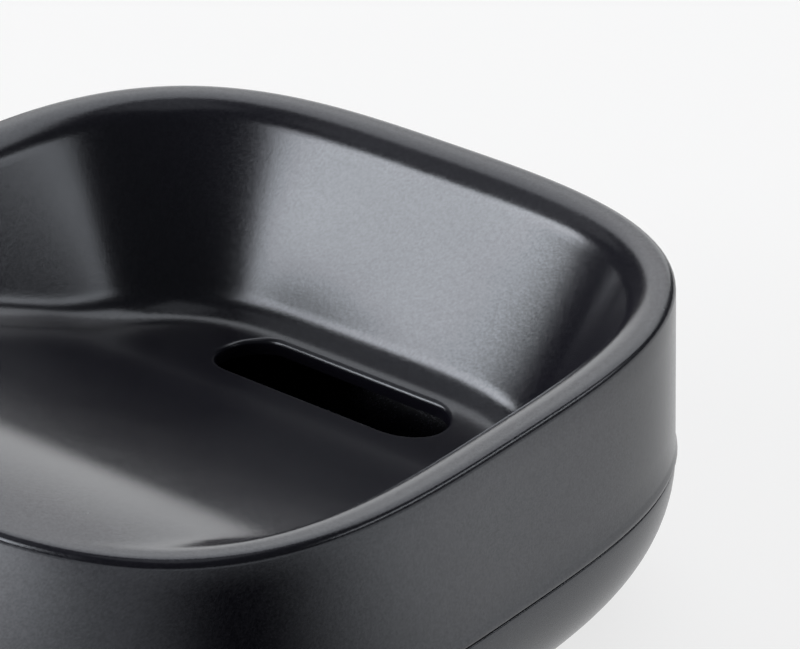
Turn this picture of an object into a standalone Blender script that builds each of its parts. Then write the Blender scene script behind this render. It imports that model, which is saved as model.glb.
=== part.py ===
# A soap dish in two mouldings on soft foot pads. The tray holds the soap in a bowl that
# slopes to a drain slot, and lifts off the drip base that catches the water.
# Metres, +Z up. The origin is on the table, under the middle of the dish. The slot runs
# along X beside the rear wall, which is at +Y, and the bowl's ramp starts at the front.

import math

import bmesh
import bpy

# Overall sizes, in metres
DISH_WIDTH = 0.098
DISH_DEPTH = 0.098
SEAM_HEIGHT = 0.0173
SEAM_GAP = 0.0003
FIT_GAP = 0.0003
CUT_OVERRUN = 0.001
OUTLINE_POWER = 3.16

# Soap tray
TRAY_WALL = 0.0020
RIM_EDGE_RADIUS = 0.0010
RIM_FLAT = 0.0008
RIM_ROLL_RADIUS = 0.0045
WALL_DRAFT = math.radians(28.0)
BOWL_DEPTH = 0.0229
RAMP_SETBACK = 0.0025
RAMP_TO_REAR = 0.0202
RAMP_CREST_RADIUS = 0.0450
RAMP_VALLEY_RADIUS = 0.0400
FILLET_RADIUS = 0.0053
SHALLOW_FILLET_POWER = 8.0
SHALLOW_DEPTH = 0.0080
FULL_FILLET_DEPTH = 0.0140
SLOT_LENGTH = 0.0330
SLOT_WIDTH = 0.0096
SLOT_TO_WALL = 0.0023
SLOT_EDGE_RADIUS = 0.0003
SKIRT_FLARE = 0.0002
SKIRT_FLARE_HEIGHT = 0.0015
SKIRT_EDGE_RADIUS = 0.0002

# Drip base
RESERVOIR_DEPTH = 0.0109
BASE_FLOOR = 0.0024
BASE_EDGE_RADIUS = 0.00025
FLANK_INSET = 0.0130
SPIGOT_WALL = 0.0014
SPIGOT_HEIGHT = 0.0035
SPIGOT_EDGE_RADIUS = 0.0004
RESERVOIR_CURVE_INSET = 0.0085

# Foot pads
FOOT_RADIUS = 0.0050
FOOT_PROUD = 0.0008
FOOT_RECESS = 0.0012
FOOT_SETBACK = 0.0130
FOOT_EDGE_RADIUS = 0.0003

# Counts of faces
POINTS_AROUND = 80
OUTLINE_SAMPLES = 720
EDGE_STEPS = 3
ROLL_STEPS = 5
WALL_STEPS = 6
FLOOR_STEPS = 12
FLOOR_STEP_POWER = 1.4
FLANK_STEPS = 9
FOOT_SEGMENTS = 40
SMOOTH_ANGLE = math.radians(38.0)

# Places that follow from the sizes
half_width = DISH_WIDTH / 2
half_depth = DISH_DEPTH / 2
seat_height = SEAM_HEIGHT + SEAM_GAP / 2
shoulder_height = SEAM_HEIGHT - SEAM_GAP / 2
dish_height = FOOT_PROUD + BASE_FLOOR + RESERVOIR_DEPTH + TRAY_WALL + BOWL_DEPTH
skirt_height = dish_height - seat_height
roll_turn = math.pi / 2 - WALL_DRAFT
roll_start = RIM_EDGE_RADIUS + RIM_FLAT
roll_end = roll_start + RIM_ROLL_RADIUS * math.sin(roll_turn)
roll_drop = RIM_ROLL_RADIUS * (1 - math.cos(roll_turn))
wall_foot_inset = roll_end + (BOWL_DEPTH - roll_drop) * math.tan(WALL_DRAFT)
wall_shift = TRAY_WALL / math.cos(WALL_DRAFT) - TRAY_WALL * math.tan(WALL_DRAFT)
slot_centre_y = half_depth - wall_foot_inset - SLOT_TO_WALL - SLOT_WIDTH / 2
slot_straight = (SLOT_LENGTH - SLOT_WIDTH) / 2
last_inset = wall_foot_inset + min(0.0, SLOT_TO_WALL / 2 - SLOT_EDGE_RADIUS)
fillet_reach = FILLET_RADIUS * math.tan(roll_turn / 2)
ramp_start_y = RAMP_SETBACK - half_depth
ramp_end_y = half_depth - RAMP_TO_REAR
ramp_run = ramp_end_y - ramp_start_y
ramp_radii = RAMP_CREST_RADIUS + RAMP_VALLEY_RADIUS
ramp_slope = math.asin(
    ramp_radii / math.hypot(ramp_run, ramp_radii - BOWL_DEPTH)
) - math.atan2(ramp_radii - BOWL_DEPTH, ramp_run)
crest_end_y = ramp_start_y + RAMP_CREST_RADIUS * math.sin(ramp_slope)
valley_start_y = ramp_end_y - RAMP_VALLEY_RADIUS * math.sin(ramp_slope)
foot_x = half_width - FLANK_INSET - FOOT_SETBACK
foot_y = half_depth - FLANK_INSET - FOOT_SETBACK


def outline_radius(angle, half_x, half_y):
    """Distance from the middle to a rounded-square outline, in one direction."""
    across = abs(math.cos(angle)) / half_x
    along = abs(math.sin(angle)) / half_y
    return (across ** OUTLINE_POWER + along ** OUTLINE_POWER) ** (-1 / OUTLINE_POWER)


def even_directions():
    """Directions that space the points evenly along the dish's outline."""
    angles = [math.tau * i / OUTLINE_SAMPLES for i in range(OUTLINE_SAMPLES + 1)]
    samples = []
    for angle in angles:
        radius = outline_radius(angle, half_width, half_depth)
        samples.append((radius * math.cos(angle), radius * math.sin(angle)))
    lengths = [0.0]
    for before, after in zip(samples, samples[1:]):
        lengths.append(lengths[-1] + math.dist(before, after))
    directions = []
    step = 0
    for i in range(POINTS_AROUND):
        target = lengths[-1] * i / POINTS_AROUND
        while lengths[step + 1] <= target:
            step += 1
        part = (target - lengths[step]) / (lengths[step + 1] - lengths[step])
        directions.append(angles[step] + part * (angles[step + 1] - angles[step]))
    return directions


DIRECTIONS = even_directions()


def outline_measure(x, y):
    """A point's size, which is 1 on the dish's outline, and how fast it grows per metre."""
    across = abs(x) / half_width
    along = abs(y) / half_depth
    size = (across ** OUTLINE_POWER + along ** OUTLINE_POWER) ** (1 / OUTLINE_POWER)
    slope_x = (across / size) ** (OUTLINE_POWER - 1) / half_width
    slope_y = (along / size) ** (OUTLINE_POWER - 1) / half_depth
    return size, math.hypot(slope_x, slope_y)


def outline(inset):
    """The dish's outline in plan, drawn in by an inset."""
    points = []
    for angle in DIRECTIONS:
        radius = outline_radius(angle, half_width - inset, half_depth - inset)
        points.append((radius * math.cos(angle), radius * math.sin(angle)))
    return points


def bowl_outline(inset):
    """The bowl's outline in plan: an inset measured square to the dish's outline, so that
    the corners get tighter with depth."""
    points = []
    for angle in DIRECTIONS:
        x = math.cos(angle)
        y = math.sin(angle)
        size, steepness = outline_measure(x, y)
        radius = (1 - inset * steepness) / size
        points.append((x * radius, y * radius))
    return points


def slot_outline(grow):
    """The drain slot in plan, grown by an amount. Each point is the nearest one to a point
    of the wall's foot, so that the lines between the two never cross."""
    points = []
    for x, y in bowl_outline(last_inset):
        near_x = min(max(x, -slot_straight), slot_straight)
        reach = (SLOT_WIDTH / 2 + grow) / math.dist((x, y), (near_x, slot_centre_y))
        points.append((near_x + (x - near_x) * reach, slot_centre_y + (y - slot_centre_y) * reach))
    return points


def blend_rings(first, second, share):
    """Points part of the way from one ring to another."""
    points = []
    for (ax, ay), (bx, by) in zip(first, second):
        points.append((ax + (bx - ax) * share, ay + (by - ay) * share))
    return points


def inset_at(x, y):
    """How far a point in plan lies inside the dish's outline."""
    size, steepness = outline_measure(x, y)
    return (1 - size) / steepness


def arc_drop(radius, run):
    """How far a round of some radius falls over a level run from its top."""
    return radius - math.sqrt(radius ** 2 - run ** 2)


def ramp_depth(y):
    """Depth of the bowl's floor below the rim: a straight ramp with a rolled crest at the
    front and a wide hollow at the slot."""
    if y <= ramp_start_y:
        return 0.0
    if y < crest_end_y:
        return arc_drop(RAMP_CREST_RADIUS, y - ramp_start_y)
    if y < valley_start_y:
        crest_depth = arc_drop(RAMP_CREST_RADIUS, crest_end_y - ramp_start_y)
        return crest_depth + (y - crest_end_y) * math.tan(ramp_slope)
    if y < ramp_end_y:
        return BOWL_DEPTH - arc_drop(RAMP_VALLEY_RADIUS, ramp_end_y - y)
    return BOWL_DEPTH


def wall_depth(inset):
    """Depth of the bowl's wall below the rim, if it ran on without a floor."""
    if inset <= roll_start:
        return 0.0
    if inset < roll_end:
        return arc_drop(RIM_ROLL_RADIUS, inset - roll_start)
    return roll_drop + (inset - roll_end) / math.tan(WALL_DRAFT)


def round_fillet(inset, floor):
    """Depth of the bowl where a round fillet joins its wall to a deep floor."""
    foot = roll_end + (floor - roll_drop) * math.tan(WALL_DRAFT)
    if inset >= foot + fillet_reach:
        return floor
    if inset <= foot - fillet_reach * math.sin(WALL_DRAFT):
        return wall_depth(inset)
    return floor - arc_drop(FILLET_RADIUS, foot + fillet_reach - inset)


def bowl_depth(inset, y):
    """Depth of the bowl, where wall and floor run into each other: in a tight blend where
    the floor is shallow, which opens into the round fillet where it is deep."""
    wall = wall_depth(inset)
    floor = ramp_depth(y)
    if wall <= 0 or floor <= 0:
        return 0.0
    shallow = min(wall, floor)
    deep = max(wall, floor)
    power = SHALLOW_FILLET_POWER
    tight = shallow * (1 + (shallow / deep) ** power) ** (-1 / power)
    if floor <= SHALLOW_DEPTH:
        return tight
    share = min((floor - SHALLOW_DEPTH) / (FULL_FILLET_DEPTH - SHALLOW_DEPTH), 1.0)
    share = share * share * (3 - 2 * share)
    return tight + (round_fillet(inset, floor) - tight) * share


def level_ring(inset, height):
    """One flat ring of the loft."""
    return [(x, y, height) for x, y in outline(inset)]


def loft(name, rings, closed):
    """Joins rings of points into a closed mesh: a tube bent on itself, or one with two caps."""
    mesh = bpy.data.meshes.new(name)
    bm = bmesh.new()
    loops = [[bm.verts.new(point) for point in ring] for ring in rings]
    pairs = list(zip(loops, loops[1:]))
    if closed:
        pairs.append((loops[-1], loops[0]))
    for lower, upper in pairs:
        for i in range(POINTS_AROUND):
            j = (i + 1) % POINTS_AROUND
            bm.faces.new((lower[i], lower[j], upper[j], upper[i]))
    if not closed:
        bm.faces.new(loops[0])
        bm.faces.new(loops[-1])
    bmesh.ops.recalc_face_normals(bm, faces=bm.faces)
    bm.to_mesh(mesh)
    bm.free()
    return mesh


def make_material(name, colour, roughness):
    """A plain moulded plastic or rubber."""
    material = bpy.data.materials.new(name)
    material.use_nodes = True
    shader = material.node_tree.nodes["Principled BSDF"]
    shader.inputs["Base Color"].default_value = (*colour, 1.0)
    shader.inputs["Roughness"].default_value = roughness
    shader.inputs["Metallic"].default_value = 0.0
    return material


def add_part(name, mesh, material, location, collection):
    """Puts a mesh in the dish as a named piece."""
    mesh.shade_smooth()
    mesh.set_sharp_from_angle(angle=SMOOTH_ANGLE)
    mesh.materials.append(material)
    part = bpy.data.objects.new(name, mesh)
    part.location = location
    collection.objects.link(part)
    return part


def tray_rings():
    """The tray's rings, with height 0 at the skirt's lower edge: up the skirt, over the
    rim, down the bowl to the slot, through it, and back under the bowl to the skirt."""
    top = skirt_height
    flare_edge = SKIRT_EDGE_RADIUS - SKIRT_FLARE
    rings = [level_ring(flare_edge, 0.0), level_ring(-SKIRT_FLARE, SKIRT_EDGE_RADIUS)]
    rings.append(level_ring(0.0, SKIRT_FLARE_HEIGHT))
    for i in range(EDGE_STEPS + 1):
        turn = math.pi / 2 * i / EDGE_STEPS
        inset = RIM_EDGE_RADIUS * (1 - math.cos(turn))
        rings.append(level_ring(inset, top - RIM_EDGE_RADIUS * (1 - math.sin(turn))))

    # The insets at which the bowl is cut into rings, from the rim's roll to the wall's foot
    insets = []
    for i in range(ROLL_STEPS + 1):
        insets.append(roll_start + RIM_ROLL_RADIUS * math.sin(roll_turn * i / ROLL_STEPS))
    for i in range(1, WALL_STEPS + 1):
        insets.append(roll_end + (last_inset - roll_end) * i / WALL_STEPS)
    for inset in insets:
        rings.append([(x, y, top - bowl_depth(inset, y)) for x, y in bowl_outline(inset)])
    shares = [(i / FLOOR_STEPS) ** FLOOR_STEP_POWER for i in range(1, FLOOR_STEPS + 1)]
    slot_lip = slot_outline(SLOT_EDGE_RADIUS)
    for share in shares:
        flat = blend_rings(bowl_outline(last_inset), slot_lip, share)
        rings.append([(x, y, top - bowl_depth(inset_at(x, y), y)) for x, y in flat])

    # The slot's rounded upper edge, then its lower edge
    lip = rings[-1]
    for i in range(1, EDGE_STEPS + 1):
        turn = math.pi / 2 * i / EDGE_STEPS
        flat = slot_outline(SLOT_EDGE_RADIUS * (1 - math.sin(turn)))
        drop = SLOT_EDGE_RADIUS * (1 - math.cos(turn))
        rings.append([(x, y, z - drop) for (x, y), (_, _, z) in zip(flat, lip)])
    flat = slot_outline(0.0)
    under = []
    for x, y in flat:
        under.append((x, y, top - TRAY_WALL - bowl_depth(inset_at(x, y) + wall_shift, y)))
    rings.append(under)

    # The underside follows the bowl at the wall's thickness
    for i in range(FLOOR_STEPS - 2, 0, -2):
        share = shares[i - 1]
        flat = blend_rings(bowl_outline(last_inset - wall_shift), slot_outline(0.0), share)
        ring = []
        for x, y in flat:
            depth = bowl_depth(inset_at(x, y) + wall_shift, y)
            ring.append((x, y, top - TRAY_WALL - depth))
        rings.append(ring)
    for inset in reversed(insets):
        if inset - wall_shift > TRAY_WALL + RIM_EDGE_RADIUS:
            flat = bowl_outline(inset - wall_shift)
            rings.append([(x, y, top - TRAY_WALL - bowl_depth(inset, y)) for x, y in flat])
    rings.append(level_ring(TRAY_WALL, top - TRAY_WALL))
    rings.append(level_ring(TRAY_WALL, 0.0))
    return rings


def base_rings():
    """The base's rings: the flat bottom, the curved flank, the shoulder, the spigot that
    stands inside the tray's skirt, and down the reservoir to its floor."""
    flank_height = shoulder_height - FOOT_PROUD
    rings = []
    for i in range(FLANK_STEPS, 0, -1):
        turn = math.pi / 2 * i / FLANK_STEPS
        inset = FLANK_INSET * (1 - math.cos(turn))
        rings.append(level_ring(inset, shoulder_height - flank_height * math.sin(turn)))
    for i in range(EDGE_STEPS + 1):
        turn = math.pi / 2 * i / EDGE_STEPS
        inset = BASE_EDGE_RADIUS * (1 - math.cos(turn))
        rings.append(level_ring(inset, shoulder_height - BASE_EDGE_RADIUS * (1 - math.sin(turn))))

    spigot_outer = TRAY_WALL + FIT_GAP
    spigot_inner = spigot_outer + SPIGOT_WALL
    spigot_top = shoulder_height + SPIGOT_HEIGHT
    rings.append(level_ring(spigot_outer, shoulder_height))
    rings.append(level_ring(spigot_outer, spigot_top - SPIGOT_EDGE_RADIUS))
    rings.append(level_ring(spigot_outer + SPIGOT_EDGE_RADIUS, spigot_top))
    rings.append(level_ring(spigot_inner, spigot_top))

    floor_height = FOOT_PROUD + BASE_FLOOR
    reservoir_height = shoulder_height - floor_height
    for i in range(FLANK_STEPS + 1):
        turn = math.pi / 2 * i / FLANK_STEPS
        inset = spigot_inner + RESERVOIR_CURVE_INSET * (1 - math.cos(turn))
        rings.append(level_ring(inset, shoulder_height - reservoir_height * math.sin(turn)))
    return rings


def cut(part, cutter):
    """Takes the cutter's shape out of a piece."""
    boolean = part.modifiers.new("Cut " + cutter.name, "BOOLEAN")
    boolean.operation = "DIFFERENCE"
    boolean.solver = "EXACT"
    boolean.object = cutter


def cylinder_mesh(name, radius, height):
    """A cylinder that stands on the plane of its own origin."""
    mesh = bpy.data.meshes.new(name)
    bm = bmesh.new()
    bmesh.ops.create_cone(
        bm, cap_ends=True, segments=FOOT_SEGMENTS, radius1=radius, radius2=radius, depth=height
    )
    bmesh.ops.translate(bm, verts=bm.verts, vec=(0.0, 0.0, height / 2))
    bm.to_mesh(mesh)
    bm.free()
    return mesh


def make_tray(collection):
    plastic = make_material("tray_plastic", (0.020, 0.021, 0.024), 0.34)
    mesh = loft("soap_tray", tray_rings(), closed=True)
    add_part("soap_tray", mesh, plastic, (0.0, 0.0, seat_height), collection)


def make_base(collection):
    plastic = make_material("base_plastic", (0.020, 0.021, 0.024), 0.36)
    mesh = loft("drip_base", base_rings(), closed=False)
    return add_part("drip_base", mesh, plastic, (0.0, 0.0, 0.0), collection)


def make_feet(base, collection, cutters):
    """A soft pad in a recess under each corner of the base."""
    rubber = make_material("foot_rubber", (0.035, 0.035, 0.037), 0.75)
    pad_mesh = cylinder_mesh("foot_pad", FOOT_RADIUS, FOOT_PROUD + FOOT_RECESS - FIT_GAP)
    pad_mesh.shade_smooth()
    pad_mesh.set_sharp_from_angle(angle=SMOOTH_ANGLE)
    pad_mesh.materials.append(rubber)
    recess_mesh = cylinder_mesh("foot_recess", FOOT_RADIUS + FIT_GAP, FOOT_RECESS + CUT_OVERRUN)
    corners = (("front_left", -1, -1), ("front_right", 1, -1), ("rear_left", -1, 1), ("rear_right", 1, 1))
    for corner, x_sign, y_sign in corners:
        recess = bpy.data.objects.new("recess_" + corner, recess_mesh)
        recess.location = (x_sign * foot_x, y_sign * foot_y, FOOT_PROUD - CUT_OVERRUN)
        recess.hide_render = True
        recess.display_type = "WIRE"
        cutters.objects.link(recess)
        cut(base, recess)
        pad = bpy.data.objects.new("foot_pad_" + corner, pad_mesh)
        pad.location = (x_sign * foot_x, y_sign * foot_y, 0.0)
        collection.objects.link(pad)
        edge = pad.modifiers.new("Rounded edge", "BEVEL")
        edge.width = FOOT_EDGE_RADIUS
        edge.segments = 2
        edge.limit_method = "ANGLE"


def main():
    for old in list(bpy.data.objects):
        bpy.data.objects.remove(old, do_unlink=True)
    dish = bpy.data.collections.new("soap_dish")
    cutters = bpy.data.collections.new("cutters")
    bpy.context.scene.collection.children.link(dish)
    bpy.context.scene.collection.children.link(cutters)
    make_tray(dish)
    base = make_base(dish)
    make_feet(base, dish, cutters)


main()
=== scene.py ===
import math

import bmesh
import bpy
from mathutils import Matrix, Vector


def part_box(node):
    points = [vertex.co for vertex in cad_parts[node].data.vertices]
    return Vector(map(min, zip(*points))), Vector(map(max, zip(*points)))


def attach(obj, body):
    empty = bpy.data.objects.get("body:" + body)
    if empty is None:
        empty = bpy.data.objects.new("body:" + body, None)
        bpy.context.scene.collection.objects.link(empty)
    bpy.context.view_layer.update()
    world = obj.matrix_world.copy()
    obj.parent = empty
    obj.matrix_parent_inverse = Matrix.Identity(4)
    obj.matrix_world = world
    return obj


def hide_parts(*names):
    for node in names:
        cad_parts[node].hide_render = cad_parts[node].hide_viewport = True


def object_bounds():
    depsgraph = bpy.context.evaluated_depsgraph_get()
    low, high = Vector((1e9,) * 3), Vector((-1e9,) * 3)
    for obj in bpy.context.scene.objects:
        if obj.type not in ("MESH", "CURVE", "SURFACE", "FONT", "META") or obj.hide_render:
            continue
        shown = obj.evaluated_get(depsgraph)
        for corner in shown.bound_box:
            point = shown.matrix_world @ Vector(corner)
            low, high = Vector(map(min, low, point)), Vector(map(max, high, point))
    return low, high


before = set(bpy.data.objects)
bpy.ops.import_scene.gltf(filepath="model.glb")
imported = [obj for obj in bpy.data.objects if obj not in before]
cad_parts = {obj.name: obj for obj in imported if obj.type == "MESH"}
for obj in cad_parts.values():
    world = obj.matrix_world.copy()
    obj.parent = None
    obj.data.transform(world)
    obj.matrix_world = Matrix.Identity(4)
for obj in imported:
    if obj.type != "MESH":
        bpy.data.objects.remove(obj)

cadLow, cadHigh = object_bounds()
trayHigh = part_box("soap_tray")[1]
print("frame loaded:", len(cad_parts), "nodes")


# What the tray and the base share, in metres
dish = {
    "outlinePower": 3.16,            # 2 is an ellipse, larger is squarer
    "cornerSegments": 48,            # edges in each quarter of the outline
    "flare": 0.0002,                 # the skirt's foot stands this proud
    "seamGap": 0.0003,
    "fitGap": 0.0003,
    "smoothAngle": math.radians(32),
    "mergeDistance": 0.00001,
}
dish["half"] = trayHigh.x - dish["flare"]


def deselectAll():
    if bpy.context.object and bpy.context.object.mode != "OBJECT":
        bpy.ops.object.mode_set(mode="OBJECT")
    bpy.ops.object.select_all(action="DESELECT")


def pick(piece):
    deselectAll()
    piece.select_set(True)
    bpy.context.view_layer.objects.active = piece


def startEdit(piece, selectMode="EDGE"):
    pick(piece)
    bpy.ops.object.mode_set(mode="EDIT")
    bpy.ops.mesh.select_mode(type=selectMode)
    bpy.ops.mesh.select_all(action="DESELECT")


def finishEdit():
    bpy.ops.object.mode_set(mode="OBJECT")


def selectWhere(piece, kind, test):
    # Selects the vertices, edges or faces that pass a test, in edit mode
    bpy.ops.mesh.select_all(action="DESELECT")
    mesh = bmesh.from_edit_mesh(piece.data)
    found = 0
    for item in getattr(mesh, kind):
        if test(item):
            item.select_set(True)
            found += 1
    mesh.select_flush_mode()
    bmesh.update_edit_mesh(piece.data)
    return found


def edgeMiddle(edge):
    return (edge.verts[0].co + edge.verts[1].co) / 2


def outlinePlane(name, inset, height):
    # A plane whose four corners are rounded right over into the dish's outline
    deselectAll()
    half = dish["half"] - inset
    bpy.ops.mesh.primitive_plane_add(size=2 * half, location=(0, 0, height))
    piece = bpy.context.object
    piece.name = name
    bpy.ops.object.transform_apply(location=True, rotation=False, scale=False)
    startEdit(piece, "VERT")
    bpy.ops.mesh.select_all(action="SELECT")
    bpy.ops.mesh.bevel(offset=half, offset_type="OFFSET", affect="VERTICES",
                       segments=dish["cornerSegments"],
                       profile=2 ** (-2 / dish["outlinePower"]), clamp_overlap=False)
    bpy.ops.mesh.select_all(action="SELECT")
    bpy.ops.mesh.remove_doubles(threshold=dish["mergeDistance"])
    bpy.ops.mesh.select_mode(type="EDGE")
    bpy.ops.mesh.select_all(action="SELECT")
    return piece


def raiseRings(rings):
    # Extrudes the selected edge loop from ring to ring, each an inset and a height
    lastInset, lastHeight = rings[0]
    for inset, height in rings[1:]:
        bpy.ops.mesh.extrude_region_move(
            TRANSFORM_OT_translate={"value": (0, 0, height - lastHeight)})
        scale = (dish["half"] - inset) / (dish["half"] - lastInset)
        bpy.ops.transform.resize(value=(scale, scale, 1), center_override=(0, 0, height))
        lastInset, lastHeight = inset, height


def arcRings(steps, insetFrom, heightFrom, insetSpan, heightSpan, turnEnd=math.pi / 2):
    # Rings along a quarter round that starts upright and ends level
    rings = []
    for step in range(1, steps + 1):
        turn = turnEnd * step / steps
        rings.append((insetFrom + insetSpan * (1 - math.cos(turn)),
                      heightFrom + heightSpan * math.sin(turn)))
    return rings


def outlineSize(x, y):
    power = dish["outlinePower"]
    return (abs(x) ** power + abs(y) ** power) ** (1 / power)


def outlineSteepness(x, y):
    # How fast the size grows on the way square out of the outline
    power = dish["outlinePower"] - 1
    return math.hypot(abs(x) ** power, abs(y) ** power) / outlineSize(x, y) ** power


def insetAt(x, y):
    # How far a point in plan lies inside the outline
    return (dish["half"] - outlineSize(x, y)) / outlineSteepness(x, y)


def drawToInset(piece, inset):
    # Moves the selected points in until they lie that far inside the outline
    mesh = bmesh.from_edit_mesh(piece.data)
    for point in mesh.verts:
        if point.select:
            x, y = point.co.xy
            scale = (dish["half"] - inset * outlineSteepness(x, y)) / outlineSize(x, y)
            point.co.xy = (x * scale, y * scale)
    bmesh.update_edit_mesh(piece.data)


def applyModifier(piece, kind, **settings):
    pick(piece)
    modifier = piece.modifiers.new(kind.title(), kind)
    for key, value in settings.items():
        setattr(modifier, key, value)
    bpy.ops.object.modifier_apply(modifier=modifier.name)


def recalculate(piece):
    startEdit(piece)
    bpy.ops.mesh.select_all(action="SELECT")
    bpy.ops.mesh.remove_doubles(threshold=dish["mergeDistance"])
    bpy.ops.mesh.normals_make_consistent(inside=False)
    finishEdit()


def roundEdges(radius, steps):
    bpy.ops.mesh.bevel(offset=radius, segments=steps, affect="EDGES", profile=0.5)


def smooth(piece):
    pick(piece)
    bpy.ops.object.shade_smooth_by_angle(angle=dish["smoothAngle"])


# Soap tray: skirt, rolled rim, a bowl whose floor is a ramp, and the drain slot
tray = {
    "seat": 0.01745,                 # height of the skirt's lower edge
    "wall": 0.0020,
    "rimEdge": 0.0010,               # radius of the rim's outer edge
    "rimFlat": 0.0008,
    "rimRoll": 0.0045,               # radius of the roll into the bowl
    "draft": math.radians(28),       # lean of the bowl's walls
    "bowlDepth": 0.0229,
    "rampSetback": 0.0025,           # from the front of the dish to the ramp's start
    "rampToRear": 0.0202,            # from the ramp's end to the rear of the dish
    "rampCrest": 0.0560,             # radius that rolls into the ramp
    "rampValley": 0.0400,            # radius that levels it out at the slot
    "fillet": 0.0053,                # radius at the foot of the walls
    "rimPower": 1.9,                 # the soft blend of roll and ramp next to the rim
    "rimShallow": 0.0015,            # floor depths from which and at which that blend tightens
    "shallowPower": 8.0,             # the tighter blend where the floor is shallow
    "tightFrom": 0.0070,
    "shallow": 0.0080,
    "fullFillet": 0.0140,
    "slotLength": 0.0330,
    "slotWidth": 0.0096,
    "slotToWall": 0.0023,
    "slotApron": 0.0009,             # a clear ring round the slot, which the edge rounds into
    "slotEdge": 0.0006,
    "slotUnderEdge": 0.0002,
    "flareHeight": 0.0015,
    "flareEdge": 0.0002,
    "flareEdgeCurve": ((0.0, 0.0), (0.7, 0.3), (1.0, 1.0)),     # shares of flare and height
    "flareCurve": ((0.8, 0.4), (0.3, 0.75), (0.0, 1.0)),
    "rimFlatRing": 0.3,              # where a ring lies on the rim's flat
    "slotEdgeSteps": 4,
    "slotUnderSteps": 2,
    "slotEdgeSpan": (-0.5, 0.5),     # how deep the slot's edges are looked for, in walls
    "slotUnderSpan": (0.75, 1.5),
    "sharpAngle": math.radians(55),  # the slot's edges turn more than this
    "rimEdgeSteps": 6,
    "rollSteps": 12,
    "wallSteps": 26,
    "floorSteps": 3,                 # rings from the wall's foot to the slot
    "floorEdge": 0.0010,             # longest edge left on the floor
    "skirtSteps": 6,
    "ringSlack": 0.0002,             # how near a ring counts as on it
    "slotSlack": 0.0010,             # how far round the slot its edges are looked for
    "skirtSlack": 0.0015,            # how far inside the skirt its inner face may lie
}
tray["rollTurn"] = math.pi / 2 - tray["draft"]
tray["rollStart"] = tray["rimEdge"] + tray["rimFlat"]
tray["rollEnd"] = tray["rollStart"] + tray["rimRoll"] * math.sin(tray["rollTurn"])
tray["rollDrop"] = tray["rimRoll"] * (1 - math.cos(tray["rollTurn"]))
tray["wallFoot"] = (tray["rollEnd"]
                    + (tray["bowlDepth"] - tray["rollDrop"]) * math.tan(tray["draft"]))
tray["slotMiddle"] = dish["half"] - tray["wallFoot"] - tray["slotToWall"] - tray["slotWidth"] / 2
tray["slotStraight"] = (tray["slotLength"] - tray["slotWidth"]) / 2
tray["filletReach"] = tray["fillet"] * math.tan(tray["rollTurn"] / 2)

# The ramp: a rolled crest, a straight run and a wide hollow, each tangent to the next
tray["rampStart"] = tray["rampSetback"] - dish["half"]
tray["rampEnd"] = dish["half"] - tray["rampToRear"]
rampRun = tray["rampEnd"] - tray["rampStart"]
rampRadii = tray["rampCrest"] + tray["rampValley"]
tray["rampSlope"] = (math.asin(rampRadii / math.hypot(rampRun, rampRadii - tray["bowlDepth"]))
                     - math.atan2(rampRadii - tray["bowlDepth"], rampRun))
tray["crestEnd"] = tray["rampStart"] + tray["rampCrest"] * math.sin(tray["rampSlope"])
tray["valleyStart"] = tray["rampEnd"] - tray["rampValley"] * math.sin(tray["rampSlope"])


def arcDrop(radius, run):
    return radius - math.sqrt(radius ** 2 - run ** 2)


def rampDepth(y):
    if y <= tray["rampStart"]:
        return 0.0
    if y < tray["crestEnd"]:
        return arcDrop(tray["rampCrest"], y - tray["rampStart"])
    if y < tray["valleyStart"]:
        crestDepth = arcDrop(tray["rampCrest"], tray["crestEnd"] - tray["rampStart"])
        return crestDepth + (y - tray["crestEnd"]) * math.tan(tray["rampSlope"])
    if y < tray["rampEnd"]:
        return tray["bowlDepth"] - arcDrop(tray["rampValley"], tray["rampEnd"] - y)
    return tray["bowlDepth"]


def wallDepth(inset):
    if inset <= tray["rollStart"]:
        return 0.0
    if inset < tray["rollEnd"]:
        return arcDrop(tray["rimRoll"], inset - tray["rollStart"])
    return tray["rollDrop"] + (inset - tray["rollEnd"]) / math.tan(tray["draft"])


def roundFillet(inset, floor):
    # Where a round fillet joins the wall to a deep floor
    foot = tray["rollEnd"] + (floor - tray["rollDrop"]) * math.tan(tray["draft"])
    if inset >= foot + tray["filletReach"]:
        return floor
    if inset <= foot - tray["filletReach"] * math.sin(tray["draft"]):
        return wallDepth(inset)
    return floor - arcDrop(tray["fillet"], foot + tray["filletReach"] - inset)


def bowlDepth(x, y):
    # Wall and ramp meet in a tight blend where shallow, which opens into the round fillet
    inset = insetAt(x, y)
    wall = wallDepth(inset)
    floor = rampDepth(y)
    if wall <= 0 or floor <= 0:
        return 0.0
    share = (floor - tray["rimShallow"]) / (tray["tightFrom"] - tray["rimShallow"])
    share = min(max(share, 0), 1)
    power = tray["rimPower"] + (tray["shallowPower"] - tray["rimPower"]) * share
    shallower, deeper = sorted((wall, floor))
    tight = shallower * (1 + (shallower / deeper) ** power) ** (-1 / power)
    if floor <= tray["shallow"]:
        return tight
    share = min((floor - tray["shallow"]) / (tray["fullFillet"] - tray["shallow"]), 1.0)
    share = share * share * (3 - 2 * share)
    return tight + (roundFillet(inset, floor) - tight) * share


def slotReach(x, y):
    # Distance in plan from the slot's middle line
    return math.hypot(x - min(max(x, -tray["slotStraight"]), tray["slotStraight"]),
                      y - tray["slotMiddle"])


def drawInToSlot(piece, grow):
    # Moves the selected points straight in to the slot's outline, grown by an amount
    mesh = bmesh.from_edit_mesh(piece.data)
    for point in mesh.verts:
        if point.select:
            x, y = point.co.xy
            near = Vector((min(max(x, -tray["slotStraight"]), tray["slotStraight"]),
                           tray["slotMiddle"]))
            point.co.xy = near + (point.co.xy - near).normalized() * (
                tray["slotWidth"] / 2 + grow)
    bmesh.update_edit_mesh(piece.data)


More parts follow.
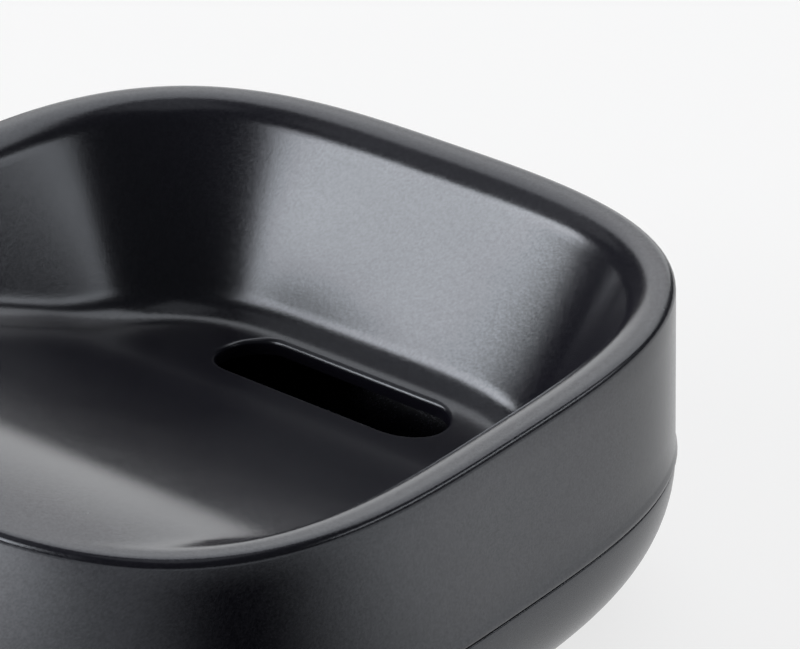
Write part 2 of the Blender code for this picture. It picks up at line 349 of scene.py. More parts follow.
def slotEdgePoints(piece):
    sheet = bmesh.new()
    sheet.from_mesh(piece.data)
    found = [point.index for point in sheet.verts
             if point.is_boundary and abs(point.co.x) < tray["slotLength"]
             and abs(point.co.y - tray["slotMiddle"]) < tray["slotWidth"]]
    sheet.free()
    return found


def makeTray():
    low, top = tray["seat"], trayHigh.z
    piece = outlinePlane("soapTray", 0.0, low)
    bpy.ops.mesh.delete(type="ONLY_FACE")
    bpy.ops.mesh.select_all(action="SELECT")

    # Up the skirt and over the rim's edge, then level across the bowl to the wall's foot
    rings = [(-dish["flare"] * out, low + tray["flareEdge"] * up)
             for out, up in tray["flareEdgeCurve"]]
    rings += [(-dish["flare"] * out, low + tray["flareHeight"] * up)
              for out, up in tray["flareCurve"]]
    skirtTop = top - tray["rimEdge"]
    for step in range(1, tray["skirtSteps"] + 1):
        rings.append((0.0, low + tray["flareHeight"] + (skirtTop - low - tray["flareHeight"])
                      * step / tray["skirtSteps"]))
    rings += arcRings(tray["rimEdgeSteps"], 0.0, skirtTop, tray["rimEdge"], tray["rimEdge"])
    rings.append((tray["rimEdge"] + tray["rimFlat"] * tray["rimFlatRing"], top))
    raiseRings(rings)
    insets = []
    for step in range(tray["rollSteps"] + 1):
        turn = tray["rollTurn"] * step / tray["rollSteps"]
        insets.append(tray["rollStart"] + tray["rimRoll"] * math.sin(turn))
    for step in range(1, tray["wallSteps"] + 1):
        span = tray["wallFoot"] - tray["rollEnd"]
        insets.append(tray["rollEnd"] + span * step / tray["wallSteps"])
    for inset in insets:
        bpy.ops.mesh.extrude_region_move()
        drawToInset(piece, inset)

    # The wall's foot is drawn in to the slot, and the edges across the floor are cut short
    for grow in (tray["slotApron"], 0.0):
        bpy.ops.mesh.extrude_region_move()
        drawInToSlot(piece, grow)

    def acrossFloor(edge, shortest=0.0):
        middle = edgeMiddle(edge)
        return (edge.calc_length() > shortest
                and insetAt(middle.x, middle.y) > tray["wallFoot"] + tray["ringSlack"]
                and slotReach(middle.x, middle.y) > (tray["slotWidth"] / 2 + tray["slotApron"]
                                                     + tray["ringSlack"]))
    selectWhere(piece, "edges", acrossFloor)
    bpy.ops.mesh.subdivide(number_cuts=tray["floorSteps"] - 1, ngon=False)
    while selectWhere(piece, "edges", lambda edge: acrossFloor(edge, tray["floorEdge"])):
        bpy.ops.mesh.subdivide(number_cuts=1, ngon=False)
    finishEdit()

    # The level sheet is let down into the bowl
    for vertex in piece.data.vertices:
        if insetAt(vertex.co.x, vertex.co.y) > tray["rollStart"]:
            vertex.co.z = top - bowlDepth(vertex.co.x, vertex.co.y)
    recalculate(piece)

    # The wall's thickness, with the sharp inner corner under the rim drawn together
    outerCount = len(piece.data.vertices)
    slotPoints = slotEdgePoints(piece)
    applyModifier(piece, "SOLIDIFY", thickness=tray["wall"], offset=-1.0,
                  use_even_offset=False, use_quality_normals=True)
    for index in slotPoints:
        piece.data.vertices[outerCount + index].co.xy = piece.data.vertices[index].co.xy
    for vertex in piece.data.vertices[outerCount:]:
        size = outlineSize(vertex.co.x, vertex.co.y)
        if size > dish["half"] - tray["wall"]:
            vertex.co.xy *= (dish["half"] - tray["wall"]) / size
        vertex.co.z = min(vertex.co.z, top - tray["wall"])
        if size > dish["half"] - tray["wall"] - tray["skirtSlack"]:
            vertex.co.z = max(vertex.co.z, low)
    startEdit(piece)
    bpy.ops.mesh.select_all(action="SELECT")
    bpy.ops.mesh.remove_doubles(threshold=dish["mergeDistance"])

    # Rounded edges at the slot, above and below
    def atSlot(edge, fromWall, toWall):
        middle = edgeMiddle(edge)
        under = top - bowlDepth(middle.x, middle.y) - middle.z
        return (edge.calc_face_angle(0) > tray["sharpAngle"]
                and tray["wall"] * fromWall < under < tray["wall"] * toWall
                and slotReach(middle.x, middle.y) < tray["slotWidth"] / 2 + tray["slotSlack"])
    selectWhere(piece, "edges", lambda edge: atSlot(edge, *tray["slotEdgeSpan"]))
    roundEdges(tray["slotEdge"], tray["slotEdgeSteps"])
    selectWhere(piece, "edges", lambda edge: atSlot(edge, *tray["slotUnderSpan"]))
    roundEdges(tray["slotUnderEdge"], tray["slotUnderSteps"])
    finishEdit()
    smooth(piece)
    return piece


# Drip base: flat bottom, curved flank, shoulder under the tray, spigot and reservoir
base = {
    "bottomInset": 0.0130,           # how far the flank curves in at the bottom
    "floor": 0.0024,
    "shoulderEdge": 0.00025,
    "spigotWall": 0.0014,
    "spigotHeight": 0.0035,
    "spigotEdge": 0.0004,
    "reservoirInset": 0.0085,        # how far the reservoir's wall curves in
    "flankSteps": 24,
    "flankEnd": 1.5,                 # the flank's rings end this many edge radii below the shoulder
    "edgeSteps": 4,
    "recessDepth": 0.0012,
    "recessOverrun": 0.001,          # how far a cutter reaches past the bottom
    "reservoirEdge": 0.0002,         # the rounding from the spigot into the reservoir
    "floorRing": 0.006,              # distance between the rings of the reservoir's floor
    "floorRings": 3,
}
base["shoulder"] = tray["seat"] - dish["seamGap"]
base["spigotOuter"] = tray["wall"] + dish["fitGap"]
base["spigotInner"] = base["spigotOuter"] + base["spigotWall"]


# Foot pads: one soft disc in a recess under each corner
footPad = {
    "radius": 0.0050,
    "proud": 0.0008,
    "setback": 0.0130,               # from the edge of the flat bottom
    "edge": 0.0003,
    "ringInset": 0.0011,             # the raised rim round the pad's hollow face
    "ringSlope": 0.2,                # how much of that inset the step into the hollow takes
    "hollow": 0.00018,
    "edgeSteps": 4,
    "sharpAngle": math.radians(60),
    "shortEdge": 0.3,                # edges round the disc are shorter than this share of its radius
    "downward": -0.9,
}
footPad["reach"] = dish["half"] - base["bottomInset"] - footPad["setback"]
footPad["height"] = footPad["proud"] + base["recessDepth"] - dish["fitGap"]
footPad["places"] = {
    "frontLeft": (-1, -1), "frontRight": (1, -1), "rearLeft": (-1, 1), "rearRight": (1, 1),
}


def disc(name, radius, height, place, low, vertices=64):
    deselectAll()
    bpy.ops.mesh.primitive_cylinder_add(vertices=vertices, radius=radius, depth=height,
                                        location=(place[0], place[1], low + height / 2))
    piece = bpy.context.object
    piece.name = name
    bpy.ops.object.transform_apply(location=True, rotation=False, scale=False)
    return piece


def makeBase():
    bottom, shoulder = footPad["proud"], base["shoulder"]
    flankHeight = shoulder - bottom
    piece = outlinePlane("dripBase", base["bottomInset"], bottom)
    rings = []
    for step in range(base["flankSteps"], -1, -1):
        turn = math.pi / 2 * step / base["flankSteps"]
        height = shoulder - flankHeight * math.sin(turn)
        if height < shoulder - base["shoulderEdge"] * base["flankEnd"]:
            rings.append((base["bottomInset"] * (1 - math.cos(turn)), height))
    rings += [(0.0, shoulder - base["shoulderEdge"])]
    rings += arcRings(base["edgeSteps"], 0.0, shoulder - base["shoulderEdge"],
                      base["shoulderEdge"], base["shoulderEdge"])

    # Across the shoulder, up the spigot, and down into the reservoir
    spigotTop = shoulder + base["spigotHeight"]
    rings += [(base["spigotOuter"], shoulder),
              (base["spigotOuter"], spigotTop - base["spigotEdge"])]
    rings += arcRings(base["edgeSteps"], base["spigotOuter"], spigotTop - base["spigotEdge"],
                      base["spigotEdge"], base["spigotEdge"])
    rings += [(base["spigotInner"] - base["reservoirEdge"], spigotTop),
              (base["spigotInner"], spigotTop - base["reservoirEdge"])]
    floorHeight = bottom + base["floor"]
    for step in range(base["flankSteps"] + 1):
        turn = math.pi / 2 * step / base["flankSteps"]
        rings.append((base["spigotInner"] + base["reservoirInset"] * (1 - math.cos(turn)),
                      shoulder - (shoulder - floorHeight) * math.sin(turn)))
    raiseRings(rings)
    bpy.ops.mesh.edge_face_add()
    bpy.ops.mesh.select_mode(type="FACE")
    for ring in range(base["floorRings"]):
        bpy.ops.mesh.inset(thickness=base["floorRing"], depth=0)
    finishEdit()
    recalculate(piece)

    # A recess for each foot pad
    for xSign, ySign in footPad["places"].values():
        place = (xSign * footPad["reach"], ySign * footPad["reach"])
        cutter = disc("recess", footPad["radius"] + dish["fitGap"],
                      base["recessDepth"] + base["recessOverrun"], place,
                      bottom - base["recessOverrun"])
        applyModifier(piece, "BOOLEAN", operation="DIFFERENCE", solver="EXACT", object=cutter)
        bpy.data.objects.remove(cutter)
    smooth(piece)
    return piece


def makeFootPad(corner, xSign, ySign):
    place = (xSign * footPad["reach"], ySign * footPad["reach"])
    piece = disc("footPad" + corner[0].upper() + corner[1:], footPad["radius"],
                 footPad["height"], place, 0.0)
    startEdit(piece, "FACE")
    selectWhere(piece, "faces", lambda face: face.normal.z < footPad["downward"])
    bpy.ops.mesh.inset(thickness=footPad["ringInset"], depth=0)
    bpy.ops.mesh.inset(thickness=footPad["ringInset"] * footPad["ringSlope"], depth=0)
    bpy.ops.transform.translate(value=(0, 0, footPad["hollow"]))
    bpy.ops.mesh.inset(thickness=footPad["ringInset"], depth=0)
    bpy.ops.mesh.select_mode(type="EDGE")
    selectWhere(piece, "edges", lambda edge: edge.calc_face_angle(0) > footPad["sharpAngle"]
                and edge.calc_length() < footPad["radius"] * footPad["shortEdge"])
    roundEdges(footPad["edge"], footPad["edgeSteps"])
    finishEdit()
    smooth(piece)
    return piece


print("modelling the tray")
soapTray = makeTray()
print("modelling the base")
dripBase = makeBase()
print("modelling the foot pads")
footPads = {}
for corner, (xSign, ySign) in footPad["places"].items():
    footPads[corner] = makeFootPad(corner, xSign, ySign)


# Node helpers
def addNode(tree, kind, settings=None, **inputs):
    node = tree.nodes.new(kind)
    for key, value in (settings or {}).items():
        setattr(node, key, value)
    for key, value in inputs.items():
        name = key.replace("_", " ")
        numbered = key[0] == "i" and key[1:].isdigit()
        socket = node.inputs[int(key[1:]) if numbered else name]
        if isinstance(value, bpy.types.NodeSocket):
            tree.links.new(value, socket)
        else:
            socket.default_value = value
    return node


def math2(tree, operation, first, second=0.5, third=0.5, clamp=False):
    node = addNode(tree, "ShaderNodeMath", {"operation": operation, "use_clamp": clamp},
                   i0=first, i1=second, i2=third)
    return node.outputs[0]


def remap(tree, value, fromLow, fromHigh, toLow=0.0, toHigh=1.0, smoothly=False):
    settings = {"interpolation_type": "SMOOTHSTEP" if smoothly else "LINEAR", "clamp": True}
    node = addNode(tree, "ShaderNodeMapRange", settings, Value=value, From_Min=fromLow,
                   From_Max=fromHigh, To_Min=toLow, To_Max=toHigh)
    return node.outputs["Result"]


def mixColour(tree, factor, first, second, blendType="MIX"):
    node = addNode(tree, "ShaderNodeMix", {"data_type": "RGBA", "blend_type": blendType})
    for index, value in ((0, factor), (6, first), (7, second)):
        if isinstance(value, bpy.types.NodeSocket):
            tree.links.new(value, node.inputs[index])
        else:
            node.inputs[index].default_value = value
    return node.outputs[2]


def newGroup(name, inputs, outputs):
    group = bpy.data.node_groups.new(name, "ShaderNodeTree")
    for label, kind, value in inputs:
        socket = group.interface.new_socket(name=label, in_out="INPUT", socket_type=kind)
        if value is not None:
            socket.default_value = value
    for label, kind in outputs:
        group.interface.new_socket(name=label, in_out="OUTPUT", socket_type=kind)
    start = group.nodes.new("NodeGroupInput")
    end = group.nodes.new("NodeGroupOutput")
    return group, start.outputs, end.inputs


def noise(tree, vector, scale, detail=2.0, roughness=0.5, distortion=0.0):
    node = addNode(tree, "ShaderNodeTexNoise", {"noise_dimensions": "3D"}, Vector=vector,
                   Scale=scale, Detail=detail, Roughness=roughness, Distortion=distortion)
    return node.outputs[0]


# The effects. A noise is scale, detail, roughness and distortion, a span from where to where
grainLook = {
    "scale": 3600.0, "pitScale": 900.0, "pitDepth": 0.6,
    "slant": 0.7, "wrinkle": (0.5, 0.8, 1.0),
    "fineDetail": (3.0, 0.55), "coarseDetail": (2.0, 0.5),      # detail and roughness
    "coarseScale": 0.28,                                        # of the grain's own scale
    "heightFine": 0.65, "heightCoarse": 0.35,
    "mottleFine": 0.8, "mottleCoarse": 0.2, "mottleSpan": (0.36, 0.64),
    "pitNoise": (310.0, 1.0), "pitSpan": (0.64, 0.80), "pitSize": 0.16, "pitSlope": 0.05,
}


def makeGrainGroup(look):
    # The fine spark texture of the mould, with the odd pit
    group, given, put = newGroup(
        "mouldedGrain",
        [("Vector", "NodeSocketVector", None), ("Grain Scale", "NodeSocketFloat", look["scale"]),
         ("Pit Scale", "NodeSocketFloat", look["pitScale"]),
         ("Pit Depth", "NodeSocketFloat", look["pitDepth"])],
        [("Height", "NodeSocketFloat"), ("Mottle", "NodeSocketFloat")])
    slanted = addNode(group, "ShaderNodeVectorRotate", {"rotation_type": "Y_AXIS"},
                      Vector=given["Vector"], Angle=look["slant"])
    wrinkled = addNode(group, "ShaderNodeVectorMath", {"operation": "MULTIPLY"},
                       i0=slanted.outputs[0], i1=look["wrinkle"])
    fine = noise(group, wrinkled.outputs[0], given["Grain Scale"], *look["fineDetail"])
    coarseScale = math2(group, "MULTIPLY", given["Grain Scale"], look["coarseScale"])
    coarse = noise(group, given["Vector"], coarseScale, *look["coarseDetail"])
    cells = addNode(group, "ShaderNodeTexVoronoi", {"feature": "F1"}, Vector=given["Vector"],
                    Scale=given["Pit Scale"])
    pitSize = remap(group, noise(group, given["Vector"], *look["pitNoise"]), *look["pitSpan"],
                    0.0, look["pitSize"])
    pits = math2(group, "SUBTRACT", pitSize, cells.outputs["Distance"])
    pits = remap(group, pits, 0.0, look["pitSlope"])
    height = math2(group, "MULTIPLY_ADD", coarse, look["heightCoarse"],
                   math2(group, "MULTIPLY", fine, look["heightFine"]))
    height = math2(group, "SUBTRACT", height, math2(group, "MULTIPLY", pits, given["Pit Depth"]))
    group.links.new(height, put["Height"])
    mottle = math2(group, "MULTIPLY_ADD", coarse, look["mottleCoarse"],
                   math2(group, "MULTIPLY", fine, look["mottleFine"]))
    group.links.new(remap(group, mottle, *look["mottleSpan"]), put["Mottle"])
    return group


scratchLook = {
    "turn": 0.6, "amount": 0.5,
    "streaks": ((0.0, 60.0, 2600.0), (1.9, 90.0, 3100.0)),      # turn, scale along, scale across
    "streakNoise": (1.0, 2.0, 0.6), "streakSpan": (0.66, 0.78),
    "breakNoise": (140.0, 2.0), "breakSpan": (0.42, 0.66),
}


def makeScratchGroup(look):
    # Hairline rubs that run roughly one way, broken up along their length
    group, given, put = newGroup(
        "hairlineScratches",
        [("Vector", "NodeSocketVector", None), ("Turn", "NodeSocketFloat", look["turn"]),
         ("Amount", "NodeSocketFloat", look["amount"])],
        [("Mask", "NodeSocketFloat")])
    masks = []
    for offset, along, across in look["streaks"]:
        turned = addNode(group, "ShaderNodeVectorRotate", {"rotation_type": "Z_AXIS"},
                         Vector=given["Vector"], Angle=math2(group, "ADD", given["Turn"], offset))
        stretched = addNode(group, "ShaderNodeVectorMath", {"operation": "MULTIPLY"},
                            i0=turned.outputs[0], i1=(along, across, along))
        streak = noise(group, stretched.outputs[0], *look["streakNoise"])
        masks.append(remap(group, streak, *look["streakSpan"]))
    broken = remap(group, noise(group, given["Vector"], *look["breakNoise"]), *look["breakSpan"])
    both = math2(group, "MAXIMUM", masks[0], masks[1])
    mask = math2(group, "MULTIPLY", math2(group, "MULTIPLY", both, broken), given["Amount"])
    group.links.new(mask, put["Mask"])
    return group


dustLook = {
    "film": 0.3, "specks": 0.5, "levelSpan": (0.25, 0.95),
    "patchNoise": (85.0, 4.0, 0.6), "patchSpan": (0.40, 0.75),
    "speckScale": 420.0, "speckSpan": (0.055, 0.035),
    "sparseNoise": (200.0, 1.0), "sparseSpan": (0.52, 0.60),
}


def makeDustGroup(look):
    # Fine dust that lies on what faces up, thicker in patches, with a few specks
    group, given, put = newGroup(
        "settledDust",
        [("Vector", "NodeSocketVector", None), ("Film", "NodeSocketFloat", look["film"]),
         ("Specks", "NodeSocketFloat", look["specks"])],
        [("Mask", "NodeSocketFloat")])
    facing = addNode(group, "ShaderNodeNewGeometry")
    upward = addNode(group, "ShaderNodeSeparateXYZ", Vector=facing.outputs["Normal"])
    level = remap(group, upward.outputs["Z"], *look["levelSpan"])
    patches = remap(group, noise(group, given["Vector"], *look["patchNoise"]), *look["patchSpan"])
    film = math2(group, "MULTIPLY", patches, given["Film"])
    cells = addNode(group, "ShaderNodeTexVoronoi", {"feature": "F1"}, Vector=given["Vector"],
                    Scale=look["speckScale"])
    speck = remap(group, cells.outputs["Distance"], *look["speckSpan"])
    sparse = remap(group, noise(group, given["Vector"], *look["sparseNoise"]),
                   *look["sparseSpan"])
    specks = math2(group, "MULTIPLY", math2(group, "MULTIPLY", speck, sparse), given["Specks"])
    both = math2(group, "MAXIMUM", film, specks)
    group.links.new(math2(group, "MULTIPLY", both, level, clamp=True), put["Mask"])
    return group


edgeLook = {
    "start": 0.52, "full": 0.60,
    "wearNoise": (160.0, 3.0), "wearSpan": (0.35, 0.65), "leastWear": 0.35,
}


def makeEdgeGroup(look):
    # Edges rubbed smooth by hands and cloths
    group, given, put = newGroup(
        "handledEdges",
        [("Vector", "NodeSocketVector", None), ("Start", "NodeSocketFloat", look["start"]),
         ("Full", "NodeSocketFloat", look["full"])],
        [("Mask", "NodeSocketFloat")])
    geometry = addNode(group, "ShaderNodeNewGeometry")
    edge = remap(group, geometry.outputs["Pointiness"], given["Start"], given["Full"])
    uneven = remap(group, noise(group, given["Vector"], *look["wearNoise"]), *look["wearSpan"],
                   look["leastWear"], 1.0)
    group.links.new(math2(group, "MULTIPLY", edge, uneven), put["Mask"])
    return group


effects = {
    "grain": makeGrainGroup(grainLook),
    "scratches": makeScratchGroup(scratchLook),
    "dust": makeDustGroup(dustLook),
    "edges": makeEdgeGroup(edgeLook),
}


def useEffect(tree, effect, **values):
    node = tree.nodes.new("ShaderNodeGroup")
    node.node_tree = effects[effect]
    for key, value in values.items():
        socket = node.inputs[key.replace("_", " ")]
        if isinstance(value, bpy.types.NodeSocket):
            tree.links.new(value, socket)
        else:
            socket.default_value = value
    return node.outputs


def startMaterial(name):
    material = bpy.data.materials.new(name)
    material.use_nodes = True
    tree = material.node_tree
    shader = tree.nodes["Principled BSDF"]
    place = addNode(tree, "ShaderNodeTexCoord").outputs["Object"]
    return material, tree, shader, place


trayFinish = {
    "deep": (0.0060, 0.0056, 0.0096, 1), "light": (0.0100, 0.0096, 0.0148, 1),
    "dustColour": (0.10, 0.105, 0.125, 1), "scratchColour": (0.020, 0.021, 0.027, 1),
    "specularTint": (0.87, 0.92, 1.0, 1), "hollowShade": 0.08,
    "ior": 1.56, "roughness": 0.20, "roughnessSpread": 0.015, "edgePolish": 0.04,
    "grainScale": 4200.0, "grainHeight": 0.000018, "grainStrength": 0.60,
    "film": 0.01, "specks": 0.15, "scratchTurn": 0.7, "scratchAmount": 0.08,
}
baseFinish = {
    "deep": (0.0060, 0.0056, 0.0096, 1), "light": (0.0105, 0.0100, 0.0155, 1),
    "dustColour": (0.085, 0.090, 0.130, 1), "scratchColour": (0.075, 0.080, 0.100, 1),
    "specularTint": (0.87, 0.92, 1.0, 1), "hollowShade": 0.04,
    "ior": 1.56, "roughness": 0.23, "roughnessSpread": 0.02, "edgePolish": 0.04,
    "grainScale": 4200.0, "grainHeight": 0.000010, "grainStrength": 0.35,
    "film": 0.20, "specks": 0.15, "scratchTurn": 2.2, "scratchAmount": 0.25,
}


# What both mouldings share: how pigment and shine vary, and what each mark adds to roughness
plasticLook = {
    "flowNoise": (38.0, 3.0, 0.55, 0.6), "toneShare": 0.5,
    "roughNoise": (55.0, 4.0, 0.6), "roughSpan": (0.3, 0.7),
    "mottleRough": 0.05, "scratchRough": 0.12, "dustRough": 0.35,
    "scratchHeight": -0.5, "specular": 0.5,
}


def makePlastic(name, finish):
    material, tree, shader, place = startMaterial(name)
    grain = useEffect(tree, "grain", Vector=place, Grain_Scale=finish["grainScale"])
    scratches = useEffect(tree, "scratches", Vector=place, Turn=finish["scratchTurn"],
                          Amount=finish["scratchAmount"])["Mask"]
    dust = useEffect(tree, "dust", Vector=place, Film=finish["film"],
                     Specks=finish["specks"])["Mask"]
    edges = useEffect(tree, "edges", Vector=place)["Mask"]

    # Pigment is a little uneven through the moulding, and follows the grain
    flow = noise(tree, place, *plasticLook["flowNoise"])
    tone = math2(tree, "MULTIPLY_ADD", flow, plasticLook["toneShare"],
                 math2(tree, "MULTIPLY", grain["Mottle"], plasticLook["toneShare"]))
    colour = mixColour(tree, tone, finish["deep"], finish["light"])
    colour = mixColour(tree, scratches, colour, finish["scratchColour"])
    colour = mixColour(tree, dust, colour, finish["dustColour"])
    tree.links.new(colour, shader.inputs["Base Color"])

    low = finish["roughness"] - finish["roughnessSpread"]
    high = finish["roughness"] + finish["roughnessSpread"]
    rough = remap(tree, noise(tree, place, *plasticLook["roughNoise"]),
                  *plasticLook["roughSpan"], low, high)
    for mark, share in ((grain["Mottle"], "mottleRough"), (scratches, "scratchRough"),
                        (dust, "dustRough")):
        rough = math2(tree, "MULTIPLY_ADD", mark, plasticLook[share], rough)
    rough = math2(tree, "MULTIPLY_ADD", edges, -finish["edgePolish"], rough, clamp=True)
    tree.links.new(rough, shader.inputs["Roughness"])

    height = math2(tree, "MULTIPLY_ADD", scratches, plasticLook["scratchHeight"],
                   grain["Height"])
    bump = addNode(tree, "ShaderNodeBump", Height=height, Strength=finish["grainStrength"],
                   Distance=finish["grainHeight"])
    tree.links.new(bump.outputs["Normal"], shader.inputs["Normal"])
    # Painted shade: the reflection is made weaker where the grain lies low, and stronger where it
    # stands high
    hollowShadeLevel = remap(tree, grain["Mottle"], 0.0, 1.0,
                   plasticLook["specular"] - finish["hollowShade"],
                   plasticLook["specular"] + finish["hollowShade"])
    tree.links.new(hollowShadeLevel, shader.inputs["Specular IOR Level"])
    shader.inputs["IOR"].default_value = finish["ior"]
    shader.inputs["Specular Tint"].default_value = finish["specularTint"]
    return material


rubberFinish = {
    "deep": (0.024, 0.024, 0.026, 1), "light": (0.040, 0.040, 0.042, 1),
    "dustColour": (0.17, 0.165, 0.155, 1), "ior": 1.5, "roughness": 0.72,
    "grainScale": 2400.0, "grainHeight": 0.00003, "grainStrength": 0.5, "pitScale": 700.0,
    "flowNoise": (120.0, 3.0, 0.6), "mottleRough": 0.12, "edgePolish": 0.12,
    "lintNoise": (900.0, 4.0, 0.7), "lintSpan": (0.60, 0.74), "lintMost": 0.35,
}


def makeRubber(name, finish):
    material, tree, shader, place = startMaterial(name)
    grain = useEffect(tree, "grain", Vector=place, Grain_Scale=finish["grainScale"],
                      Pit_Scale=finish["pitScale"])
    edges = useEffect(tree, "edges", Vector=place)["Mask"]
    flow = noise(tree, place, *finish["flowNoise"])
    colour = mixColour(tree, math2(tree, "MULTIPLY", flow, grain["Mottle"]),
                       finish["deep"], finish["light"])
    lint = remap(tree, noise(tree, place, *finish["lintNoise"]), *finish["lintSpan"],
                 0.0, finish["lintMost"])
    colour = mixColour(tree, lint, colour, finish["dustColour"])
    tree.links.new(colour, shader.inputs["Base Color"])
    rough = math2(tree, "MULTIPLY_ADD", grain["Mottle"], finish["mottleRough"],
                  finish["roughness"])
    rough = math2(tree, "MULTIPLY_ADD", edges, -finish["edgePolish"], rough, clamp=True)
    tree.links.new(rough, shader.inputs["Roughness"])
    bump = addNode(tree, "ShaderNodeBump", Height=grain["Height"],
                   Strength=finish["grainStrength"], Distance=finish["grainHeight"])
    tree.links.new(bump.outputs["Normal"], shader.inputs["Normal"])
    shader.inputs["IOR"].default_value = finish["ior"]
    return material


print("making the materials")


def dress(piece, material, body, node):
    piece.data.materials.clear()
    piece.data.materials.append(material)
    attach(piece, body)
    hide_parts(node)


dress(soapTray, makePlastic("trayPlastic", trayFinish), "tray", "soap_tray")
dress(dripBase, makePlastic("basePlastic", baseFinish), "base", "drip_base")
padRubber = makeRubber("footRubber", rubberFinish)
padNodes = {"frontLeft": "foot_pad_front_left", "frontRight": "foot_pad_front_right",
            "rearLeft": "foot_pad_rear_left", "rearRight": "foot_pad_rear_right"}
for corner, piece in footPads.items():
    dress(piece, padRubber, "base", padNodes[corner])


# The stage: a pale floor, soft-edged cards that only reflections see, which are painted reflections,
# and soft lamps
stage = {
    "floorSize": 6.0,
    "floorColour": (0.84, 0.845, 0.86, 1),
    "floorShade": 0.24,              # how much of the floor's look is lit, and takes the shadow
    "worldColour": (0.95, 0.97, 1.0, 1),
    "worldFill": 0.08,
    "floorDrop": 0.00002,            # the floor lies this far below the pads
    "cardLift": 0.0005,
    "cardStep": 0.0001,              # from one card up to the next
    "aim": (0, 0, 0.02),             # the point that the lamps face
    "cardCore": 0.1,                 # how much of a card is solid, before it fades out
}


def seenWhite(tree):
    # 1 for camera, glossy and transmission rays, 0 for the light that falls on the dish
    path = addNode(tree, "ShaderNodeLightPath")
    seen = math2(tree, "MAXIMUM", path.outputs["Is Camera Ray"], path.outputs["Is Glossy Ray"])
    return math2(tree, "MAXIMUM", seen, path.outputs["Is Transmission Ray"])


def makeWorld():
    world = bpy.data.worlds.new("dimStudio")
    bpy.context.scene.world = world
    world.use_nodes = True
    background = world.node_tree.nodes["Background"]
    background.inputs["Color"].default_value = stage["worldColour"]
    background.inputs["Strength"].default_value = stage["worldFill"]


def makeFloor():
    deselectAll()
    bpy.ops.mesh.primitive_plane_add(size=stage["floorSize"], location=(0, 0, -stage["floorDrop"]))
    floor = bpy.context.object
    floor.name = "paleFloor"
    material = bpy.data.materials.new("paleFloor")
    material.use_nodes = True
    tree = material.node_tree
    tree.nodes.clear()
    lit = addNode(tree, "ShaderNodeBsdfDiffuse", Color=stage["floorColour"])
    glow = addNode(tree, "ShaderNodeEmission", Color=(1, 1, 1, 1), Strength=seenWhite(tree))
    mix = addNode(tree, "ShaderNodeMixShader", i0=stage["floorShade"],
                  i1=glow.outputs[0], i2=lit.outputs[0])
    # From below the floor is clear, so that the underside can be looked at
    below = addNode(tree, "ShaderNodeNewGeometry").outputs["Backfacing"]
    clear = addNode(tree, "ShaderNodeBsdfTransparent")
    sided = addNode(tree, "ShaderNodeMixShader", i0=below, i1=mix.outputs[0],
                    i2=clear.outputs[0])
    addNode(tree, "ShaderNodeOutputMaterial", Surface=sided.outputs[0])
    floor.data.materials.append(material)


def directionTo(azimuth, elevation):
    # Azimuth 0 is towards the front (-Y), 90 towards the right (+X)
    turn, rise = math.radians(azimuth), math.radians(elevation)
    return Vector((math.sin(turn) * math.cos(rise), -math.cos(turn) * math.cos(rise),
                   math.sin(rise)))


def faceAim(place):
    return (Vector(stage["aim"]) - place).to_track_quat("-Z", "Y").to_matrix().to_4x4()


def makeLamp(name, azimuth, elevation, distance, width, height, radiance):
    lamp = bpy.data.lights.new(name, "AREA")
    lamp.shape = "RECTANGLE"
    lamp.size = width
    lamp.size_y = height
    lamp.energy = radiance * math.pi * width * height
    holder = bpy.data.objects.new(name, lamp)
    place = Vector(stage["aim"]) + directionTo(azimuth, elevation) * distance
    holder.matrix_world = Matrix.Translation(place) @ faceAim(place)
    bpy.context.scene.collection.objects.link(holder)


def makePaintedReflection(name, x, y, width, depth, turn, radiance):
    # A soft-edged card just over the floor, where only the dish's reflections see it: a painted
    # reflection that glows or stays dark and lights nothing
    deselectAll()
    height = stage["cardLift"] + stage["cardStep"] * len(cardNames)
    bpy.ops.mesh.primitive_plane_add(size=2, location=(x, y, height),
                                     rotation=(0, 0, math.radians(turn)))
    card = bpy.context.object
    card.name = name
    card.scale = (width / 2, depth / 2, 1)
    material = bpy.data.materials.new(name)
    material.use_nodes = True
    tree = material.node_tree
    tree.nodes.clear()
    place = addNode(tree, "ShaderNodeTexCoord").outputs["Object"]
    reach = addNode(tree, "ShaderNodeVectorMath", {"operation": "LENGTH"}, i0=place)
    cover = remap(tree, reach.outputs["Value"], 1.0, stage["cardCore"], smoothly=True)
    clear = addNode(tree, "ShaderNodeBsdfTransparent")
    glow = addNode(tree, "ShaderNodeEmission", Color=(1, 1, 1, 1), Strength=radiance)
    mix = addNode(tree, "ShaderNodeMixShader", i0=cover, i1=clear.outputs[0], i2=glow.outputs[0])
    addNode(tree, "ShaderNodeOutputMaterial", Surface=mix.outputs[0])
    card.data.materials.append(material)
    card.visible_camera = False
    card.visible_diffuse = False
    card.visible_shadow = False
    card.visible_transmission = False
    cardNames.append(name)


print("setting the stage")
makeWorld()
makeFloor()

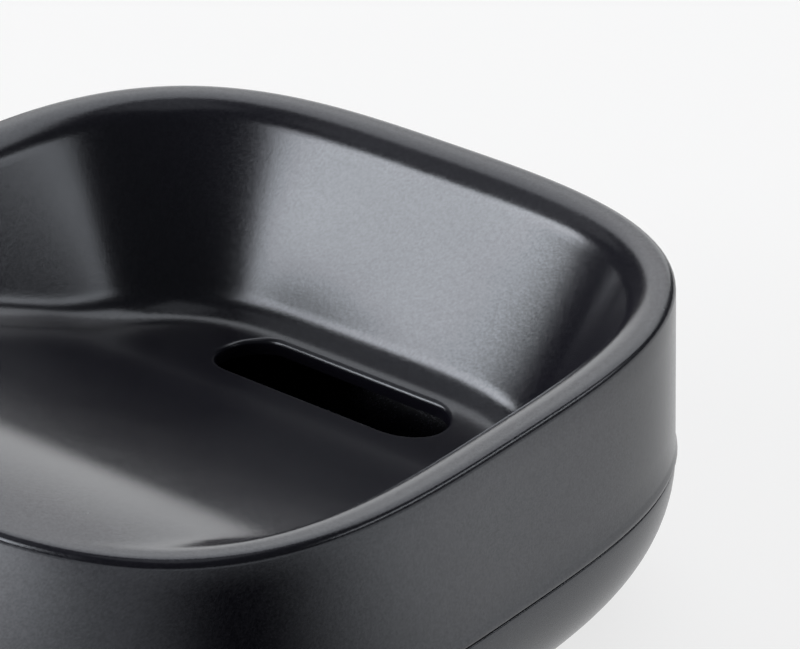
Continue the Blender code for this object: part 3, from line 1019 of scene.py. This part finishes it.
# name: azimuth, elevation, distance, width, height, radiance
lamps = {
    "leftSoftbox": (-43.5, 20.5, 1.0, 0.80, 0.26, 9.7),
    "softboxTop": (-27, 32, 1.0, 0.25, 0.13, 5.0),
    "leftFill": (-75, 46, 1.2, 0.90, 0.55, 0.45),
    "rearLeftLow": (-148, 14, 1.2, 0.75, 0.50, 1.75),
    "rearHigh": (-160, 50, 1.2, 1.60, 0.95, 1.95),
    "rearRightPanel": (123, 25, 1.2, 0.95, 0.15, 4.0),
    "overhead": (0, 85, 1.4, 0.8, 0.8, 0.4),
}
for name, values in lamps.items():
    makeLamp(name, *values)

# Painted reflections: sheets that glow or stay dark in the dish's reflections only
# name: x, y, width, depth, turn in degrees, radiance
cardNames = []
cards = {
    # Painted reflections: glowing patches, brighter than the floor, that only the dish's reflections
    # see, at the right and at the front left
    "paintedReflectionRight": (0.105, 0.025, 0.130, 0.180, 0, 1.4),
    "paintedReflectionLeft": (-0.045, -0.110, 0.160, 0.120, 0, 4.0),
    # Painted dark reflection: a dark patch on the floor in front to the right, which only the dish's
    # reflections see
    "paintedDarkReflectionFront": (0.087, -0.060, 0.155, 0.155, 0, 0.0),
}
for name, values in cards.items():
    makePaintedReflection(name, *values)


# The camera stands where the photograph was taken
photoView = {
    "azimuth": 40.62, "elevation": 28.71, "distance": 0.49864,
    "right": 0.02474, "up": -0.00354,          # the frame's middle, from the rim's middle
    "roll": math.radians(1.728), "lens": 202.5, "sensor": 36.0, "clipStart": 0.01,
}


def makeCamera():
    turn = math.radians(photoView["azimuth"])
    back = directionTo(photoView["azimuth"], photoView["elevation"])
    right = Vector((math.cos(turn), math.sin(turn), 0))
    up = back.cross(right)
    place = (Vector((0, 0, cadHigh.z)) + right * photoView["right"] + up * photoView["up"]
             + back * photoView["distance"])
    cosRoll, sinRoll = math.cos(photoView["roll"]), math.sin(photoView["roll"])
    rolledRight = right * cosRoll - up * sinRoll
    rolledUp = up * cosRoll + right * sinRoll
    lens = bpy.data.cameras.new("photoCamera")
    lens.lens = photoView["lens"]
    lens.sensor_width = photoView["sensor"]
    lens.sensor_fit = "HORIZONTAL"
    lens.clip_start = photoView["clipStart"]
    holder = bpy.data.objects.new("photoCamera", lens)
    holder.matrix_world = Matrix((
        (rolledRight.x, rolledUp.x, back.x, place.x),
        (rolledRight.y, rolledUp.y, back.y, place.y),
        (rolledRight.z, rolledUp.z, back.z, place.z),
        (0, 0, 0, 1)))
    bpy.context.scene.collection.objects.link(holder)
    bpy.context.scene.camera = holder


print("placing the camera")
makeCamera()
bpy.context.scene.view_settings.view_transform = "Standard"

print("dish done")
